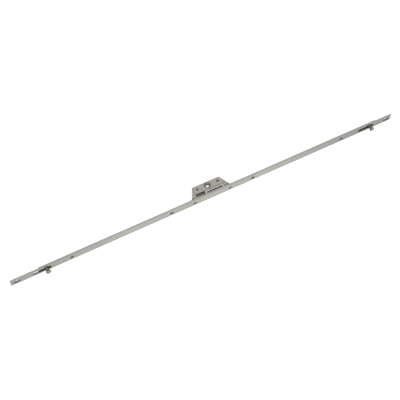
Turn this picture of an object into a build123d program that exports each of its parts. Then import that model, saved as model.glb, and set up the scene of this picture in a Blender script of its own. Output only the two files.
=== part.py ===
from build123d import *
import math
import os

# Window espagnolette: a faceplate, a gearbox behind it, a drive rod and two mushroom cams.
# The spindle axis is Z. It passes through the origin, at half the thickness of the case.
# X runs along the faceplate, and Y from the faceplate's front towards the back of the case.
# Everything that slides is placed at mid travel and then moved by REST_SHIFT.

# Faceplate
PLATE_LENGTH = 800.0
PLATE_WIDTH = 16.0
PLATE_THICKNESS = 2.5
PLATE_EDGE_CHAMFER = 0.3
BACKSET = 22.0

# Screw holes of the faceplate
SCREW_HOLE_RADIUS = 2.2
SCREW_LAND = 0.5
SCREW_INNER_X = 85.5
SCREW_OUTER_INSET = 116.0
END_SLOT_INSET = 12.0
END_SLOT_LENGTH = 9.0
END_SLOT_SINK = 1.8

# Drive rod
ROD_END_MARGIN = 15.0
ROD_WIDTH = 13.0
ROD_THICKNESS = 2.0
ROD_CORNER_RADIUS = 2.0
TRAVEL = 18.0
SLIDE_GAP = 0.1
SLOT_SIDE_GAP = 0.3
SLOT_END_GAP = 0.6

# Flanged bushes that hold the rod to the faceplate behind the screw holes
GUIDE_WALL = 1.0
GUIDE_FLANGE_GRIP = 1.5
GUIDE_FLANGE_THICKNESS = 0.9
GUIDE_SPIGOT_DEPTH = 0.5
PRESS_GAP = 0.02

# Mushroom cams
CAM_INSET = 59.0
CAM_SLOT_END_ROOM = 5.65
CAM_COLLAR_RADIUS = 3.1
CAM_COLLAR_STAND = 0.3
CAM_SHANK_RADIUS = 2.5
CAM_AXLE_RADIUS = 2.0
CAM_HEIGHT = 9.5
ROLLER_STEM_RADIUS = 3.2
ROLLER_HEAD_RADIUS = 4.7
ROLLER_HEAD_THICKNESS = 2.4
ROLLER_HEAD_CHAMFER = 0.8
ROLLER_SINK_DEPTH = 0.9
ROLLER_SINK_GAP = 0.2
ROLLER_GAP = 0.1
AXLE_HEAD_RADIUS = 2.9
CAM_WASHER_RADIUS = 4.6
CAM_WASHER_THICKNESS = 0.8
PEENED_HEAD_RADIUS = 3.4
PEENED_HEAD_HEIGHT = 0.9
PEENED_TIP_RADIUS = 1.7

# Spindle follower with its toothed sector
SOCKET_SIDE = 7.1
SOCKET_MOUTH_DEPTH = 1.1
SOCKET_MOUTH_RIM = 0.4
JOURNAL_WALL = 0.95
JOURNAL_SINK = 0.8
HUB_SHOULDER = 0.4
RUNNING_GAP = 0.05
AXIAL_GAP = 0.1
TEETH_IN_FULL_CIRCLE = 15
SECTOR_TEETH = 6
PRESSURE_ANGLE = 20.0
BACKLASH = 0.3
SECTOR_ADDENDUM = 1.5
SECTOR_THICKNESS = 3.0
SECTOR_FLOOR_GAP = 0.3
SECTOR_MARGIN = 9.0
SECTOR_MIDDLE = -45.0

# Rack slide
RACK_ADDENDUM = 1.3
RACK_TIP_GAP = 0.6
SECTOR_TIP_GAP = 0.3
RACK_LENGTH = 39.0
RACK_LEG_WIDTH = 3.0
RACK_FLOOR_GAP = 0.3
RACK_TEETH_THICKNESS = 3.0
RACK_TOP_GAP = 0.15
RACK_BAR_HUB_GAP = 1.7
RACK_BAR_DEPTH = 3.45
RACK_BAR_THICKNESS = 1.4
RACK_TENON_SHOULDER = 0.4
RACK_TENON_HEIGHT = 5.0
TOOTH_SEAT = 0.3

# Gearbox case
CASE_THICKNESS = 8.0
CASE_FLOOR = 1.3
CASE_WALL = 1.6
CASE_CORNER_RADIUS = 1.0
WINDOW_END_GAP = 0.8
WINDOW_REAR_GAP = 0.15
FLOOR_LIP_SETBACK = 1.2
COVER_THICKNESS = 1.2
PANEL_STEP = 1.5
PANEL_INSET = 0.5
PANEL_CORNER_RADIUS = 1.6
CASE_EDGE_CHAMFER = 0.5
CAVITY_CORNER_RADIUS = 2.0

# Handle fixing holes
FIXING_SPACING = 43.0
FIXING_HOLE_RADIUS = 2.65
SLEEVE_WALL = 1.35

# Case rivets: one behind each sleeve, one in each flank
RIVET_RADIUS = 1.0
RIVET_HEAD_RADIUS = 1.6
RIVET_HEAD_HEIGHT = 0.6
RIVET_BOSS_WALL = 1.0
RIVET_SLEEVE_GAP = 0.15
RIVET_SLEEVE_ANGLE = 50.0
RIVET_END_MARGIN = 3.05
RIVET_REAR_MARGIN = 4.2
RIVET_FLANK_INSET = 2.4
RIVET_FLANK_Y = -6.6

# Feet of the case and the rivets that hold them to the faceplate
FOOT_THICKNESS = 2.6
FOOT_RIVET_INSET = 7.8
FOOT_SIDE_REACH = 2.6
FOOT_TOE_REACH = 6.5
FOOT_TOE_RADIUS = 0.8
FOOT_NOTCH_DEPTH = 1.7
FOOT_NOTCH_REACH = 2.6
FOOT_NOTCH_FLOOR = 1.1
POST_RADIUS = 3.0
FOOT_RIVET_RADIUS = 1.8
FOOT_RIVET_SINK_DEPTH = 2.0
FOOT_RIVET_HEAD_RADIUS = 2.4
FOOT_RIVET_HEAD_HEIGHT = 1.3
FOOT_RIVET_TIP_RADIUS = 1.8

# An edge this near to a plane counts as lying in it
TOUCH = 0.01

# Gear geometry: a quarter turn of the sector moves the rack by the whole travel
PITCH_RADIUS = TRAVEL / (math.pi / 2)
TOOTH_PITCH = 2 * math.pi * PITCH_RADIUS / TEETH_IN_FULL_CIRCLE
TOOTH_ANGLE = 360.0 / TEETH_IN_FULL_CIRCLE
SECTOR_ROOT_RADIUS = PITCH_RADIUS - RACK_ADDENDUM - RACK_TIP_GAP
SECTOR_TIP_RADIUS = PITCH_RADIUS + SECTOR_ADDENDUM
RACK_ROOT_Y = -SECTOR_TIP_RADIUS - SECTOR_TIP_GAP
RACK_TIP_Y = -PITCH_RADIUS + RACK_ADDENDUM

# Radii that follow from the sizes above
SCREW_SINK_DEPTH = PLATE_THICKNESS - GUIDE_SPIGOT_DEPTH - SCREW_LAND
SCREW_SINK_RADIUS = SCREW_HOLE_RADIUS + SCREW_SINK_DEPTH
GUIDE_RADIUS = SCREW_HOLE_RADIUS + GUIDE_WALL
GUIDE_FLANGE_RADIUS = GUIDE_RADIUS + SLOT_SIDE_GAP + GUIDE_FLANGE_GRIP
ROLLER_SINK_RADIUS = AXLE_HEAD_RADIUS + ROLLER_SINK_GAP
JOURNAL_RADIUS = SOCKET_SIDE / math.sqrt(2) + JOURNAL_WALL
HUB_RADIUS = JOURNAL_RADIUS + HUB_SHOULDER
SOCKET_MOUTH_RADIUS = JOURNAL_RADIUS - SOCKET_MOUTH_RIM
SLEEVE_RADIUS = FIXING_HOLE_RADIUS + SLEEVE_WALL
RIVET_BOSS_RADIUS = RIVET_RADIUS + RIVET_BOSS_WALL
FOOT_RIVET_SINK_RADIUS = FOOT_RIVET_RADIUS + FOOT_RIVET_SINK_DEPTH

# Places along the faceplate
REST_SHIFT = TRAVEL / 2
SCREW_OUTER_X = PLATE_LENGTH / 2 - SCREW_OUTER_INSET
END_SLOT_X = PLATE_LENGTH / 2 - END_SLOT_INSET
CAM_X = PLATE_LENGTH / 2 - CAM_INSET
CAM_SLOT_LENGTH = TRAVEL + 2 * (CAM_COLLAR_RADIUS + CAM_SLOT_END_ROOM)
ROD_LENGTH = 2 * (CAM_X + ROD_END_MARGIN)
GUIDE_POSITIONS = (-SCREW_OUTER_X, -SCREW_INNER_X, SCREW_INNER_X, SCREW_OUTER_X)
WINDOW_HALF_LENGTH = RACK_LENGTH / 2 + TRAVEL / 2 + WINDOW_END_GAP
RIVET_FLANK_X = WINDOW_HALF_LENGTH + RIVET_FLANK_INSET
FOOT_RIVET_X = WINDOW_HALF_LENGTH + FOOT_RIVET_INSET
FOOT_NOTCH_INNER_X = FOOT_RIVET_X - FOOT_NOTCH_REACH
FOOT_SIDE_X = FOOT_RIVET_X + FOOT_SIDE_REACH
FOOT_TOE_X = FOOT_RIVET_X + FOOT_TOE_REACH

# Places of the rear rivets, which set the length and the rear of the case
RIVET_FROM_SLEEVE = SLEEVE_RADIUS + RIVET_BOSS_RADIUS + RIVET_SLEEVE_GAP
RIVET_REAR_X = FIXING_SPACING / 2 + RIVET_FROM_SLEEVE * math.cos(math.radians(RIVET_SLEEVE_ANGLE))
RIVET_REAR_Y = RIVET_FROM_SLEEVE * math.sin(math.radians(RIVET_SLEEVE_ANGLE))
CASE_HALF_LENGTH = RIVET_REAR_X + RIVET_END_MARGIN
CASE_REAR_Y = RIVET_REAR_Y + RIVET_REAR_MARGIN

# Planes across the backset
FRONT_Y = -BACKSET
BACK_Y = FRONT_Y + PLATE_THICKNESS
ROD_FRONT_Y = BACK_Y + SLIDE_GAP
ROD_BACK_Y = ROD_FRONT_Y + ROD_THICKNESS
FOOT_Y = ROD_BACK_Y + SLIDE_GAP
FOOT_TOP_Y = FOOT_Y + FOOT_THICKNESS
NOTCH_TOP_Y = FOOT_TOP_Y + FOOT_NOTCH_DEPTH
FLOOR_LIP_Y = FOOT_TOP_Y + FLOOR_LIP_SETBACK
RACK_BAR_Y = -HUB_RADIUS - RACK_BAR_HUB_GAP
WINDOW_REAR_Y = RACK_BAR_Y + WINDOW_REAR_GAP

# Planes through the thickness of the case
CASE_TOP_Z = CASE_THICKNESS / 2
CASE_BOTTOM_Z = -CASE_THICKNESS / 2
FLANK_TOP_Z = CASE_TOP_Z - PANEL_STEP
PARTING_Z = FLANK_TOP_Z - COVER_THICKNESS
CAVITY_TOP_Z = CASE_TOP_Z - COVER_THICKNESS
CAVITY_BOTTOM_Z = CASE_BOTTOM_Z + CASE_FLOOR
PANEL_HALF_LENGTH = CASE_HALF_LENGTH - PANEL_INSET
PANEL_REAR_Y = CASE_REAR_Y - PANEL_INSET
CAVITY_HALF_LENGTH = PANEL_HALF_LENGTH - COVER_THICKNESS
CAVITY_REAR_Y = CASE_REAR_Y - CASE_WALL
SECTOR_BOTTOM_Z = CAVITY_BOTTOM_Z + SECTOR_FLOOR_GAP
SECTOR_TOP_Z = SECTOR_BOTTOM_Z + SECTOR_THICKNESS
RACK_BOTTOM_Z = CAVITY_BOTTOM_Z + RACK_FLOOR_GAP
RACK_TEETH_TOP_Z = RACK_BOTTOM_Z + RACK_TEETH_THICKNESS
RACK_TOP_Z = FLANK_TOP_Z - RACK_TOP_GAP


def block(x0, x1, y0, y1, z0, z1):
    """A box between two limits on each axis."""
    centre = Pos((x0 + x1) / 2, (y0 + y1) / 2, (z0 + z1) / 2)
    return centre * Box(x1 - x0, y1 - y0, z1 - z0)


def along_y(sketch, y0, y1):
    """A sketch drawn in X and Z, extruded from y0 to y1."""
    return extrude(Plane.XZ.offset(-y0) * sketch, amount=-(y1 - y0))


def along_z(sketch, z0, z1):
    """A sketch drawn in X and Y, extruded from z0 to z1."""
    return extrude(Plane.XY.offset(z0) * sketch, amount=z1 - z0)


def turned_y(points, x):
    """A turned piece about the Y axis at x. Points are (radius, y) round its half section."""
    section = make_face(Polyline(*points, close=True))
    return Pos(x, 0, 0) * revolve(section, Axis.Y)


def turned_z(points, x, y):
    """A turned piece about a Z axis at (x, y). Points are (radius, z) round its half section."""
    section = Plane.XZ * make_face(Polyline(*points, close=True))
    return Pos(x, y, 0) * revolve(section, Axis.Z)


def rod_slot(x, radius):
    """A slot of the drive rod that leaves a fixed post of that radius free over the travel."""
    length = TRAVEL + 2 * (radius + SLOT_END_GAP)
    width = 2 * (radius + SLOT_SIDE_GAP)
    slot = Pos(x, 0) * SlotOverall(length, width)
    return along_y(slot, ROD_FRONT_Y, ROD_BACK_Y)


def faceplate():
    """The long strip, with countersunk holes, end slots and the two cam slots."""
    plate = along_y(Rectangle(PLATE_LENGTH, PLATE_WIDTH), FRONT_Y, BACK_Y)
    front_rim = plate.faces().sort_by(Axis.Y)[0].edges()
    plate = chamfer(front_rim, PLATE_EDGE_CHAMFER)
    for x in GUIDE_POSITIONS:
        screw_hole = [
            (0, FRONT_Y),
            (SCREW_SINK_RADIUS, FRONT_Y),
            (SCREW_HOLE_RADIUS, FRONT_Y + SCREW_SINK_DEPTH),
            (SCREW_HOLE_RADIUS, BACK_Y - GUIDE_SPIGOT_DEPTH),
            (GUIDE_RADIUS + PRESS_GAP, BACK_Y - GUIDE_SPIGOT_DEPTH),
            (GUIDE_RADIUS + PRESS_GAP, BACK_Y),
            (0, BACK_Y),
        ]
        plate -= turned_y(screw_hole, x)
    for x in (-FOOT_RIVET_X, FOOT_RIVET_X):
        rivet_hole = [
            (0, FRONT_Y),
            (FOOT_RIVET_SINK_RADIUS + PRESS_GAP, FRONT_Y),
            (FOOT_RIVET_RADIUS + PRESS_GAP, FRONT_Y + FOOT_RIVET_SINK_DEPTH),
            (FOOT_RIVET_RADIUS + PRESS_GAP, BACK_Y),
            (0, BACK_Y),
        ]
        plate -= turned_y(rivet_hole, x)
    cam_slot = SlotOverall(CAM_SLOT_LENGTH, 2 * (CAM_COLLAR_RADIUS + SLOT_SIDE_GAP))
    for x in (-CAM_X, CAM_X):
        plate -= along_y(Pos(x, 0) * cam_slot, FRONT_Y, BACK_Y)
    end_slot = SlotOverall(END_SLOT_LENGTH, 2 * SCREW_HOLE_RADIUS)
    for x in (-END_SLOT_X, END_SLOT_X):
        plate -= along_y(Pos(x, 0) * end_slot, FRONT_Y, BACK_Y)
        rim = plate.faces().sort_by(Axis.Y)[0].edges().filter_by_position(
            Axis.X, x - END_SLOT_LENGTH, x + END_SLOT_LENGTH
        ).filter_by_position(Axis.Z, -SCREW_HOLE_RADIUS, SCREW_HOLE_RADIUS)
        plate = chamfer(rim, END_SLOT_SINK)
    return plate


def drive_rod():
    """The strip that slides behind the faceplate, with slots for the fixed posts."""
    outline = RectangleRounded(ROD_LENGTH, ROD_WIDTH, ROD_CORNER_RADIUS)
    rod = along_y(outline, ROD_FRONT_Y, ROD_BACK_Y)
    for x in GUIDE_POSITIONS:
        rod -= rod_slot(x, GUIDE_RADIUS)
    for x in (-FOOT_RIVET_X, FOOT_RIVET_X):
        rod -= rod_slot(x, POST_RADIUS)
    tenon = rack_tenon(PRESS_GAP)
    for x in (-rack_leg_x(), rack_leg_x()):
        rod -= along_y(Pos(x, 0) * tenon, ROD_FRONT_Y, ROD_BACK_Y)
    for x in (-CAM_X, CAM_X):
        shank_hole = Circle(CAM_SHANK_RADIUS + PRESS_GAP)
        rod -= along_y(Pos(x, 0) * shank_hole, ROD_FRONT_Y, ROD_BACK_Y)
    return Pos(REST_SHIFT, 0, 0) * rod


def rod_guide(x):
    """A flanged bush, pressed into the faceplate, whose flange keeps the rod in place."""
    flange_y = ROD_BACK_Y + SLIDE_GAP
    flange_back = flange_y + GUIDE_FLANGE_THICKNESS
    section = [
        (SCREW_HOLE_RADIUS, BACK_Y - GUIDE_SPIGOT_DEPTH),
        (GUIDE_RADIUS, BACK_Y - GUIDE_SPIGOT_DEPTH),
        (GUIDE_RADIUS, flange_y),
        (GUIDE_FLANGE_RADIUS, flange_y),
        (GUIDE_FLANGE_RADIUS, flange_back),
        (SCREW_HOLE_RADIUS, flange_back),
    ]
    return turned_y(section, x)


def cam_pin(x):
    """A shouldered pin: peened tail behind the rod, collar in the slot, axle for the roller."""
    washer_back = ROD_BACK_Y + CAM_WASHER_THICKNESS
    tip = FRONT_Y - CAM_HEIGHT
    head_seat = tip + ROLLER_SINK_DEPTH
    section = [
        (0, washer_back + PEENED_HEAD_HEIGHT),
        (PEENED_TIP_RADIUS, washer_back + PEENED_HEAD_HEIGHT),
        (PEENED_HEAD_RADIUS, washer_back),
        (CAM_SHANK_RADIUS, washer_back),
        (CAM_SHANK_RADIUS, ROD_FRONT_Y),
        (CAM_COLLAR_RADIUS, ROD_FRONT_Y),
        (CAM_COLLAR_RADIUS, FRONT_Y - CAM_COLLAR_STAND),
        (CAM_AXLE_RADIUS, FRONT_Y - CAM_COLLAR_STAND),
        (CAM_AXLE_RADIUS, head_seat - ROLLER_GAP),
        (AXLE_HEAD_RADIUS, head_seat - ROLLER_GAP),
        (AXLE_HEAD_RADIUS, tip + ROLLER_GAP),
        (0, tip + ROLLER_GAP),
    ]
    return turned_y(section, x)


def cam_roller(x):
    """The mushroom that runs in the keep: a stem and a rounded head, bored for the axle."""
    foot = FRONT_Y - CAM_COLLAR_STAND - ROLLER_GAP
    tip = FRONT_Y - CAM_HEIGHT
    head_y = tip + ROLLER_HEAD_THICKNESS
    bore = CAM_AXLE_RADIUS + RUNNING_GAP
    section = [
        (bore, foot),
        (ROLLER_STEM_RADIUS, foot),
        (ROLLER_STEM_RADIUS, head_y),
        (ROLLER_HEAD_RADIUS, head_y),
        (ROLLER_HEAD_RADIUS, tip + ROLLER_HEAD_CHAMFER),
        (ROLLER_HEAD_RADIUS - ROLLER_HEAD_CHAMFER, tip),
        (ROLLER_SINK_RADIUS, tip),
        (ROLLER_SINK_RADIUS, tip + ROLLER_SINK_DEPTH),
        (bore, tip + ROLLER_SINK_DEPTH),
    ]
    return turned_y(section, x)


def cam_washer(x):
    """A washer between the drive rod and the pin's peened tail."""
    inner = CAM_SHANK_RADIUS + PRESS_GAP
    outer = CAM_WASHER_RADIUS
    section = [
        (inner, ROD_BACK_Y),
        (outer, ROD_BACK_Y),
        (outer, ROD_BACK_Y + CAM_WASHER_THICKNESS),
        (inner, ROD_BACK_Y + CAM_WASHER_THICKNESS),
    ]
    return turned_y(section, x)


def involute(angle):
    """The involute function of a pressure angle in radians."""
    return math.tan(angle) - angle


def sector_tooth(middle):
    """One tooth of the sector, its flanks on an involute, centred at an angle in degrees."""
    pressure = math.radians(PRESSURE_ANGLE)
    base = PITCH_RADIUS * math.cos(pressure)
    tip = SECTOR_TIP_RADIUS
    half_at_pitch = (TOOTH_PITCH - BACKLASH) / 4 / PITCH_RADIUS
    steps = 4

    def half_angle(radius):
        at_radius = math.acos(min(1.0, base / radius))
        return half_at_pitch + involute(pressure) - involute(at_radius)

    def point(radius, side):
        angle = math.radians(middle) + side * half_angle(radius)
        return (radius * math.cos(angle), radius * math.sin(angle))

    radii = [base + (tip - base) * k / steps for k in range(steps + 1)]
    inside = SECTOR_ROOT_RADIUS - TOOTH_SEAT
    low_right = point(inside, -1)
    low_left = point(inside, 1)
    right = Spline([point(r, -1) for r in radii])
    left = Spline([point(r, 1) for r in reversed(radii)])
    crown = Line(point(tip, -1), point(tip, 1))
    rise = Line(low_right, point(base, -1))
    fall = Line(point(base, 1), low_left)
    foot = Line(low_left, low_right)
    return make_face([rise, right, crown, left, fall, foot])


def sector_angles():
    """The middle angle of each tooth of the sector."""
    first = SECTOR_MIDDLE - TOOTH_ANGLE * (SECTOR_TEETH - 1) / 2
    return [first + TOOTH_ANGLE * k for k in range(SECTOR_TEETH)]


def spindle_follower():
    """The hub that the handle's spindle turns: square socket, two journals, toothed sector."""
    angles = sector_angles()
    start = angles[0] - SECTOR_MARGIN
    size = angles[-1] - angles[0] + 2 * SECTOR_MARGIN
    arc = CenterArc((0, 0), SECTOR_ROOT_RADIUS, start, size)
    web = make_face([Line((0, 0), arc @ 0), arc, Line(arc @ 1, (0, 0))])
    for angle in angles:
        web += sector_tooth(angle)
    gear = along_z(web, SECTOR_BOTTOM_Z, SECTOR_TOP_Z)
    hub_bottom = CAVITY_BOTTOM_Z + AXIAL_GAP
    hub_top = CAVITY_TOP_Z - AXIAL_GAP
    hub = turned_z(
        [
            (0, CASE_BOTTOM_Z + JOURNAL_SINK),
            (JOURNAL_RADIUS, CASE_BOTTOM_Z + JOURNAL_SINK),
            (JOURNAL_RADIUS, hub_bottom),
            (HUB_RADIUS, hub_bottom),
            (HUB_RADIUS, hub_top),
            (JOURNAL_RADIUS, hub_top),
            (JOURNAL_RADIUS, CASE_TOP_Z - JOURNAL_SINK),
            (0, CASE_TOP_Z - JOURNAL_SINK),
        ],
        0,
        0,
    )
    follower = hub + gear
    socket = Rectangle(SOCKET_SIDE, SOCKET_SIDE)
    follower -= along_z(socket, CASE_BOTTOM_Z, CASE_TOP_Z)
    for end in (-1, 1):
        rim_z = end * (CASE_TOP_Z - JOURNAL_SINK)
        inner_z = rim_z - end * SOCKET_MOUTH_DEPTH
        mouth = [
            (0, rim_z),
            (SOCKET_MOUTH_RADIUS, rim_z),
            (SOCKET_SIDE / 2, inner_z),
            (0, inner_z),
        ]
        follower -= turned_z(mouth, 0, 0)
    return follower


def rack_leg_x():
    """The middle of a rack leg at mid travel."""
    return RACK_LENGTH / 2 - RACK_LEG_WIDTH / 2


def rack_tenon(gap):
    """The outline of a tenon, or of the hole that takes it when it is drawn with a gap."""
    width = RACK_LEG_WIDTH - 2 * RACK_TENON_SHOULDER
    return Rectangle(width + 2 * gap, RACK_TENON_HEIGHT + 2 * gap)


def rack_teeth():
    """The straight-flanked teeth, placed so that they mesh with the sector at rest."""
    slope = math.tan(math.radians(PRESSURE_ANGLE))
    half_at_pitch = (TOOTH_PITCH - BACKLASH) / 4
    seat_y = RACK_ROOT_Y - TOOTH_SEAT
    half_seat = half_at_pitch + slope * (-PITCH_RADIUS - seat_y)
    half_tip = half_at_pitch - slope * RACK_ADDENDUM
    gap_x = PITCH_RADIUS * math.radians(sector_angles()[0] + 90.0) - REST_SHIFT
    tooth_x = gap_x - TOOTH_PITCH / 2
    first = math.ceil((-RACK_LENGTH / 2 - tooth_x) / TOOTH_PITCH)
    last = math.floor((RACK_LENGTH / 2 - tooth_x) / TOOTH_PITCH)
    teeth = Sketch()
    for k in range(first, last + 1):
        x = tooth_x + k * TOOTH_PITCH
        teeth += make_face(
            Polyline(
                (x - half_seat, seat_y),
                (x + half_seat, seat_y),
                (x + half_tip, RACK_TIP_Y),
                (x - half_tip, RACK_TIP_Y),
                close=True,
            )
        )
    trim = Pos(0, (seat_y + RACK_TIP_Y) / 2) * Rectangle(RACK_LENGTH, RACK_TIP_Y - seat_y)
    return teeth & trim


def rack_slide():
    """The toothed slide: rack, two legs with tenons in the rod, and a bar over the sector."""
    half = RACK_LENGTH / 2
    rack = block(-half, half, ROD_BACK_Y, RACK_ROOT_Y, RACK_BOTTOM_Z, RACK_TEETH_TOP_Z)
    rack += along_z(rack_teeth(), RACK_BOTTOM_Z, RACK_TEETH_TOP_Z)
    for side in (-1, 1):
        x = side * rack_leg_x()
        rack += block(x - RACK_LEG_WIDTH / 2, x + RACK_LEG_WIDTH / 2, ROD_BACK_Y, RACK_BAR_Y,
                      RACK_BOTTOM_Z, RACK_TOP_Z)
        rack += along_y(Pos(x, 0) * rack_tenon(0), ROD_FRONT_Y, ROD_BACK_Y)
    bar_front_y = RACK_BAR_Y - RACK_BAR_DEPTH
    bar_bottom = RACK_TOP_Z - RACK_BAR_THICKNESS
    rack += block(-half, half, bar_front_y, RACK_BAR_Y, bar_bottom, RACK_TOP_Z)
    return Pos(REST_SHIFT, 0, 0) * rack


def case_outline():
    """The plan of the case: a straight rear edge, flared sides and thin toes at the feet."""
    outline = make_face(
        Polyline(
            (-CASE_HALF_LENGTH, CASE_REAR_Y),
            (CASE_HALF_LENGTH, CASE_REAR_Y),
            (FOOT_SIDE_X, FOOT_TOP_Y),
            (FOOT_TOE_X, FOOT_TOP_Y),
            (FOOT_TOE_X, FOOT_Y),
            (-FOOT_TOE_X, FOOT_Y),
            (-FOOT_TOE_X, FOOT_TOP_Y),
            (-FOOT_SIDE_X, FOOT_TOP_Y),
            close=True,
        )
    )
    rear = outline.vertices().sort_by(Axis.Y)[-2:]
    outline = fillet(rear, CASE_CORNER_RADIUS)
    toes = outline.vertices().filter_by_position(Axis.Y, FOOT_TOP_Y - TOUCH, FOOT_TOP_Y + TOUCH)
    toes = toes.sort_by(Axis.X)
    return fillet([toes[0], toes[-1]], FOOT_TOE_RADIUS)


def rear_rivet_places():
    """Places of the two rivets in the rear corners of the case."""
    return [(-RIVET_REAR_X, RIVET_REAR_Y), (RIVET_REAR_X, RIVET_REAR_Y)]


def flank_rivet_places():
    """Places of the two rivets in the flared sides of the case."""
    return [(-RIVET_FLANK_X, RIVET_FLANK_Y), (RIVET_FLANK_X, RIVET_FLANK_Y)]


def fixing_places():
    """Places of the two handle screws."""
    return [(-FIXING_SPACING / 2, 0), (FIXING_SPACING / 2, 0)]


def round_holes(places, radius):
    """One disc at each place, drawn in X and Y."""
    discs = Sketch()
    for place in places:
        discs += Pos(*place) * Circle(radius)
    return discs


def foot_notches(z0, z1):
    """The notches above the feet, which leave room for the peened rivets."""
    wide = FOOT_TOE_X - FOOT_NOTCH_INNER_X
    notches = Part()
    for side in (-1, 1):
        x = side * (FOOT_NOTCH_INNER_X + wide / 2)
        plan = Pos(x, (FOOT_TOP_Y + NOTCH_TOP_Y) / 2) * Rectangle(wide, FOOT_NOTCH_DEPTH)
        notches += along_z(plan, z0, z1)
    return notches


def case_base():
    """The deep far shell, with its floor, walls, rivet bosses and both feet."""
    outline = case_outline()
    base = along_z(outline, CASE_BOTTOM_Z, PARTING_Z)
    feet = block(
        WINDOW_HALF_LENGTH, FOOT_TOE_X, FOOT_Y, FOOT_TOP_Y, PARTING_Z, FLANK_TOP_Z
    )
    feet += mirror(feet, Plane.YZ)
    base += feet & along_z(outline, CASE_BOTTOM_Z, FLANK_TOP_Z)
    far_rim = base.faces().sort_by(Axis.Z)[0].edges()
    base = chamfer(far_rim, CASE_EDGE_CHAMFER)
    depth = CAVITY_REAR_Y - WINDOW_REAR_Y
    middle_y = (CAVITY_REAR_Y + WINDOW_REAR_Y) / 2
    cavity = Pos(0, middle_y) * RectangleRounded(
        2 * CAVITY_HALF_LENGTH, depth, CAVITY_CORNER_RADIUS
    )
    cavity -= round_holes(rear_rivet_places(), RIVET_BOSS_RADIUS)
    base -= along_z(cavity, CAVITY_BOTTOM_Z, PARTING_Z)
    mouth = CAVITY_HALF_LENGTH
    base -= block(-mouth, mouth, WINDOW_REAR_Y, WINDOW_REAR_Y + CAVITY_CORNER_RADIUS,
                  CAVITY_BOTTOM_Z, FLANK_TOP_Z)
    window = WINDOW_HALF_LENGTH
    base -= block(-window, window, FOOT_Y, WINDOW_REAR_Y, CAVITY_BOTTOM_Z, FLANK_TOP_Z)
    base -= block(-window, window, FOOT_Y, FLOOR_LIP_Y, CASE_BOTTOM_Z, CAVITY_BOTTOM_Z)
    base -= foot_notches(CASE_BOTTOM_Z + FOOT_NOTCH_FLOOR, FLANK_TOP_Z)
    holes = round_holes(rear_rivet_places() + flank_rivet_places(), RIVET_RADIUS + PRESS_GAP)
    holes += round_holes(fixing_places(), FIXING_HOLE_RADIUS)
    holes += Circle(JOURNAL_RADIUS + RUNNING_GAP)
    base -= along_z(holes, CASE_BOTTOM_Z, FLANK_TOP_Z)
    tail = Circle(FOOT_RIVET_RADIUS + PRESS_GAP)
    for x in (-FOOT_RIVET_X, FOOT_RIVET_X):
        base -= along_y(Pos(x, 0) * tail, FOOT_Y, FOOT_TOP_Y)
    return base


def rivet_head_sink(places, top_z):
    """Countersinks for the flush heads of the case rivets."""
    sinks = Part()
    for x, y in places:
        sinks += turned_z(
            [
                (0, top_z),
                (RIVET_HEAD_RADIUS + PRESS_GAP, top_z),
                (RIVET_RADIUS + PRESS_GAP, top_z - RIVET_HEAD_HEIGHT),
                (0, top_z - RIVET_HEAD_HEIGHT),
            ],
            x,
            y,
        )
    return sinks


def case_cover():
    """The pressed near shell: flat flanks and a raised panel, open along the window."""
    flat = case_outline()
    flat &= Pos(0, (NOTCH_TOP_Y + CASE_REAR_Y) / 2) * Rectangle(
        2 * FOOT_TOE_X, CASE_REAR_Y - NOTCH_TOP_Y
    )
    window_depth = WINDOW_REAR_Y - NOTCH_TOP_Y
    flat -= Pos(0, WINDOW_REAR_Y - window_depth / 2) * Rectangle(
        2 * WINDOW_HALF_LENGTH, window_depth
    )
    cover = along_z(flat, PARTING_Z, FLANK_TOP_Z)
    panel_depth = PANEL_REAR_Y - WINDOW_REAR_Y
    panel_y = (PANEL_REAR_Y + WINDOW_REAR_Y) / 2
    raised = Pos(0, panel_y) * RectangleRounded(
        2 * PANEL_HALF_LENGTH, panel_depth, PANEL_CORNER_RADIUS
    )
    panel = along_z(raised, FLANK_TOP_Z, CASE_TOP_Z)
    panel_rim = panel.faces().sort_by(Axis.Z)[-1].edges()
    cover += chamfer(panel_rim, CASE_EDGE_CHAMFER)
    dish_rear = PANEL_REAR_Y - COVER_THICKNESS
    dish = block(-CAVITY_HALF_LENGTH, CAVITY_HALF_LENGTH, WINDOW_REAR_Y, dish_rear,
                 PARTING_Z, CAVITY_TOP_Z)
    rivet_pads = along_z(
        round_holes(rear_rivet_places(), RIVET_BOSS_RADIUS), PARTING_Z, CAVITY_TOP_Z
    )
    cover -= dish - rivet_pads
    holes = round_holes(rear_rivet_places() + flank_rivet_places(), RIVET_RADIUS + PRESS_GAP)
    holes += round_holes(fixing_places(), FIXING_HOLE_RADIUS)
    holes += Circle(JOURNAL_RADIUS + RUNNING_GAP)
    cover -= along_z(holes, PARTING_Z, CASE_TOP_Z)
    cover -= rivet_head_sink(rear_rivet_places(), CASE_TOP_Z)
    cover -= rivet_head_sink(flank_rivet_places(), FLANK_TOP_Z)
    return cover


def case_rivet(x, y, top_z):
    """A countersunk rivet that closes the case, peened flush on the far side."""
    return turned_z(
        [
            (0, CASE_BOTTOM_Z),
            (RIVET_RADIUS, CASE_BOTTOM_Z),
            (RIVET_RADIUS, top_z - RIVET_HEAD_HEIGHT),
            (RIVET_HEAD_RADIUS, top_z),
            (0, top_z),
        ],
        x,
        y,
    )


def case_rivets():
    """The four rivets of the case, as separate solids."""
    rivets = [case_rivet(x, y, CASE_TOP_Z) for x, y in rear_rivet_places()]
    rivets += [case_rivet(x, y, FLANK_TOP_Z) for x, y in flank_rivet_places()]
    return Compound(children=rivets)


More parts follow.
